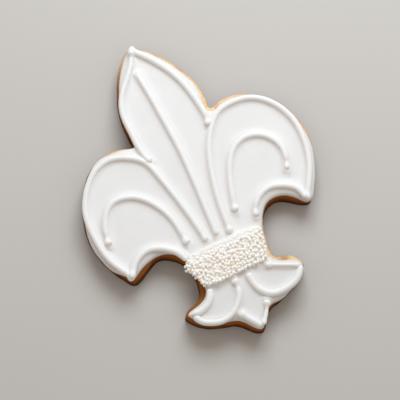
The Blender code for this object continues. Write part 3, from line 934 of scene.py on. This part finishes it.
# %% The bed
PEARL = 1.1
BED_RISE = 1.3
SUNK_FROM = -23.2 - CENTRE[1]
SUNK_REACH = 2.4


def sunk_share(points):
    """1 along the upper edge of the band, where the pearls lie deepest, down to 0 further in."""
    return np.clip((points[:, 1] - SUNK_FROM) / SUNK_REACH, 0.0, 1.0)


def bed_height(points, to_edge):
    near = np.minimum(to_edge(points)[0] / 1.3, 1.0)
    bank = BED_RISE * np.sqrt(1.0 - (1.0 - near) ** 2)
    return FLOOD_TOP + bank * (1.0 + 0.25 * sunk_share(points)) + 0.08 * wander(points, 1.6, 9)


def build_bed():
    edge = inset(band_edge, 0.45 - 0.6 * sunk_share(band_edge))
    to_edge = Near(edge)
    inner = np.vstack([inset(edge, d) for d in (0.1, 0.25, 0.5, 0.9)] + [grid_inside(edge, 0.7, 1.1, 8)])
    inner = thin_out(inner[inside(edge, inner)], 0.2)
    wall = [(inset(edge, 0.1), FLOOD_TOP - 0.5), (edge, FLOOD_TOP)]
    under = grid_inside(wall[0][0], 4.0, 1.0, 7)
    return slab("pearl_bed", wall, inner, lambda p: bed_height(p, to_edge),
                (under, lambda p: np.full(len(p), FLOOD_TOP - 0.5)), bed_icing)


bed = build_bed()

# %% [markdown]
# ## Dropping the pearls
# Pearls poured on to wet icing come to rest in the hollows between those already there.  A physics
# simulation could do this, but a simple rule gives the same heap: each new pearl tries many places and
# settles at the lowest one it can find.  Neighbours just touch, and the layers build up unevenly.  Along the
# upper edge, where they sink in, a pearl keeps off its neighbours if it can, so that they lie in one layer.
# A few pearls cling to the side of the cookie, past the edge of the bed.  Those are listed and set first.

# %% Drop the pearls
CLINGING = (
    (-14.6, -23.2, 8.7), (-14.9, -24.5, 8.5), (-13.9, -25.3, 8.6), (-13.3, -26.6, 8.4), (-13.1, -27.8, 8.5),
    (-13.6, -22.3, 8.9), (-12.2, -28.9, 8.6), (-12.0, -30.1, 8.6), (-11.7, -31.2, 8.6), (-13.9, -24.1, 9.1),
)


def drop_pearls(count, tries, seed):
    chance = np.random.default_rng(seed)
    low, high = band_edge.min(axis=0), band_edge.max(axis=0)
    edge = inset(band_edge, 0.4)
    to_edge = Near(inset(band_edge, 0.45))
    pool = chance.uniform(low, high, (count * 60, 2))
    pool = pool[inside(edge, pool)]
    sunk = sunk_share(pool)
    floor = bed_height(pool, to_edge) + (0.02 - 0.33 * sunk) * PEARL
    placed = np.array([(x - CENTRE[0], y - CENTRE[1], z) for x, y, z in CLINGING])
    for _ in range(count):
        picked = chance.integers(0, len(pool), tries)
        spots = pool[picked]
        gap = ((spots[:, None, :] - placed[None, :, :2]) ** 2).sum(axis=2)
        lift = np.sqrt(np.maximum((0.98 * PEARL) ** 2 - gap, 0.0))
        held = np.where(gap < (0.98 * PEARL) ** 2, placed[None, :, 2] + lift, -np.inf).max(axis=1)
        rest = np.maximum(floor[picked], held)
        best = (rest + 0.8 * sunk[picked] * (held > floor[picked])).argmin()
        placed = np.vstack((placed, (*spots[best], rest[best])))
    return placed


pearl_spots = drop_pearls(count=310, tries=200, seed=21)
print(f"{len(pearl_spots)} pearls, the highest centre at {pearl_spots[:, 2].max():.2f} mm")

# %% [markdown]
# ## Setting a pearl on every spot
# Instances are the natural way to repeat a pearl: one small ball of eighty faces, placed at each point
# with its own size, turn and tint.  The tree then makes them real, so that they are one mesh.  Each point
# also brings how far higher pearls close it in, for the finish to paint as shade.

# %% The tree for the pearls


def pearl_tree():
    board = geometry_board("Sugar pearls", ("Diameter", "Size spread"), ("Seed",))
    given = board.given()

    ball = board.node("GeometryNodeMeshIcoSphere", {},
                      {"Radius": given["Diameter"] * 0.5, "Subdivisions": 2}, "Mesh")
    spread = given["Size spread"]
    size = board.node("FunctionNodeRandomValue", {"data_type": "FLOAT"},
                      {"Min": 1.0 - spread, "Max": 1.0 + spread, "Seed": given["Seed"]})
    turn = board.node("FunctionNodeRandomValue", {"data_type": "FLOAT_VECTOR"},
                      {"Max": (6.28, 6.28, 6.28), "Seed": given["Seed"] + 1})
    tint = board.node("FunctionNodeRandomValue", {"data_type": "FLOAT"}, {"Seed": given["Seed"] + 2})
    spots = board.node("GeometryNodeMeshToPoints", {}, {"Mesh": given["Geometry"]})
    pearls = board.node("GeometryNodeInstanceOnPoints", {},
                        {"Points": spots, "Instance": ball, "Rotation": turn, "Scale": size})
    told = board.node("GeometryNodeStoreNamedAttribute", {"data_type": "FLOAT", "domain": "INSTANCE"},
                      {"Geometry": pearls, "Name": "tint", "Value": tint})
    solid = board.node("GeometryNodeRealizeInstances", {}, {0: told})
    smooth = board.node("GeometryNodeSetShadeSmooth", {}, {0: solid, "Shade Smooth": True})
    dressed = board.node("GeometryNodeSetMaterial", {}, {"Geometry": smooth, "Material": given["Finish"]})
    board.node("NodeGroupOutput", {}, {"Geometry": dressed})
    return board.tree


def buried(spots):
    """For each pearl, how far higher ones close it in from all sides, from 0 to 1."""
    apart = spots[None, :, :] - spots[:, None, :]
    flat = np.linalg.norm(apart[:, :, :2], axis=2)
    over = (flat < 1.5 * PEARL) & (apart[:, :, 2] > 0.25 * PEARL)
    toward = apart[:, :, :2] / np.maximum(flat, 1e-9)[:, :, None] * over[:, :, None]
    one_sided = np.linalg.norm(toward.sum(axis=1), axis=1)
    return np.clip((over.sum(axis=1) - one_sided) / 2.0, 0.0, 1.0)


cloud = bpy.data.meshes.new("pearl_spots")
cloud.from_pydata([tuple(p * MM) for p in pearl_spots], [], [])
heap = bpy.data.objects.new("sugar_pearls", cloud)
bpy.context.scene.collection.objects.link(heap)
shut_in = buried(pearl_spots)
paint(heap, "buried", shut_in)
print(f"{(shut_in > 0.5).sum()} pearls are closed in by higher ones")
sizes = {"Diameter": PEARL * MM, "Size spread": 0.05, "Seed": 9, "Finish": pearl_sugar}
pearls = grow(heap, pearl_tree(), sizes)

# %% [markdown]
# ## Standing in for the plain model
# Every new piece rides on the one body and stands in for its CAD node, which is hidden.

# %% Hand the pieces to the frame
for piece, node, slot in (
    (biscuit, "biscuit", "baked_biscuit"),
    (flood, "icing_flood", "flood_icing"),
    (pearls, "pearl_band", "sugar_pearls"),
    *((line, name, "piped_icing") for name, line in lines.items()),
):
    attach(piece, "root")
    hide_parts(node)
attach(bed, "root")

# %% [markdown]
# ## The table, the window and the camera
# White icing shows its shape only by soft shadows, so one wide window lights it from beyond the top of the
# view, a little cool, and a dim warm room fills in the rest.  The camera looks down steeply, fifteen
# degrees off the vertical, from far enough away to keep the shape flat.

# %% Table
table_finish = Finish("pale table", roughness=0.7)
paint_tone = table_finish.mix(table_finish.lumps(60.0), screen(206, 203, 199), screen(209, 206, 202))
table_finish.into(base_color=paint_tone)
table_mesh = bpy.data.meshes.new("table")
table_mesh.from_pydata([(-3, -3, 0), (3, -3, 0), (3, 3, 0), (-3, 3, 0)], [], [(0, 1, 2, 3)])
table_mesh.materials.append(table_finish.material)
table = bpy.data.objects.new("table", table_mesh)
bpy.context.scene.collection.objects.link(table)

# %% Camera
LEAN = math.radians(15.0)
TURN = math.radians(25.2)
AIM = Vector((-2.07, -5.55, 8.0)) * MM
DISTANCE = 0.5
up_table = Vector((math.sin(TURN), math.cos(TURN), 0.0))
right = Vector((math.cos(TURN), -math.sin(TURN), 0.0))
back = Vector((0.0, 0.0, math.cos(LEAN))) - up_table * math.sin(LEAN)
camera_data = bpy.data.cameras.new("camera")
camera_data.sensor_width = 36.0
camera_data.lens = 139.3
camera = bpy.data.objects.new("camera", camera_data)
bpy.context.scene.collection.objects.link(camera)
turned = Matrix((right, back.cross(right), back)).transposed()
camera.matrix_world = Matrix.Translation(AIM + back * DISTANCE) @ turned.to_4x4()
bpy.context.scene.camera = camera
print("the camera stands at", [round(c, 3) for c in camera.location])

# %% Window and room


def window(name, heading, elevation, distance, width, height, power, colour):
    """An area light that faces the cookie: heading is turned clockwise from the top of the view."""
    aim = math.radians(heading) + TURN
    high = math.radians(elevation)
    outward = Vector((math.sin(aim) * math.cos(high), math.cos(aim) * math.cos(high), math.sin(high)))
    data = bpy.data.lights.new(name, "AREA")
    data.shape = "RECTANGLE"
    data.size = width
    data.size_y = height
    data.energy = power
    data.color = colour
    light = bpy.data.objects.new(name, data)
    light.location = outward * distance
    light.rotation_euler = outward.to_track_quat("Z", "Y").to_euler()
    bpy.context.scene.collection.objects.link(light)
    return light


window(
    "window", heading=8.0, elevation=50.0, distance=0.46,
    width=0.32, height=0.24, power=1.5, colour=(0.9, 0.95, 1.0),
)
room = bpy.data.worlds.new("room")
room.use_nodes = True
room.node_tree.nodes["Background"].inputs["Color"].default_value = (1.0, 0.93, 0.845, 1.0)
room.node_tree.nodes["Background"].inputs["Strength"].default_value = 0.44
bpy.context.scene.world = room
bpy.context.scene.view_settings.view_transform = "Standard"
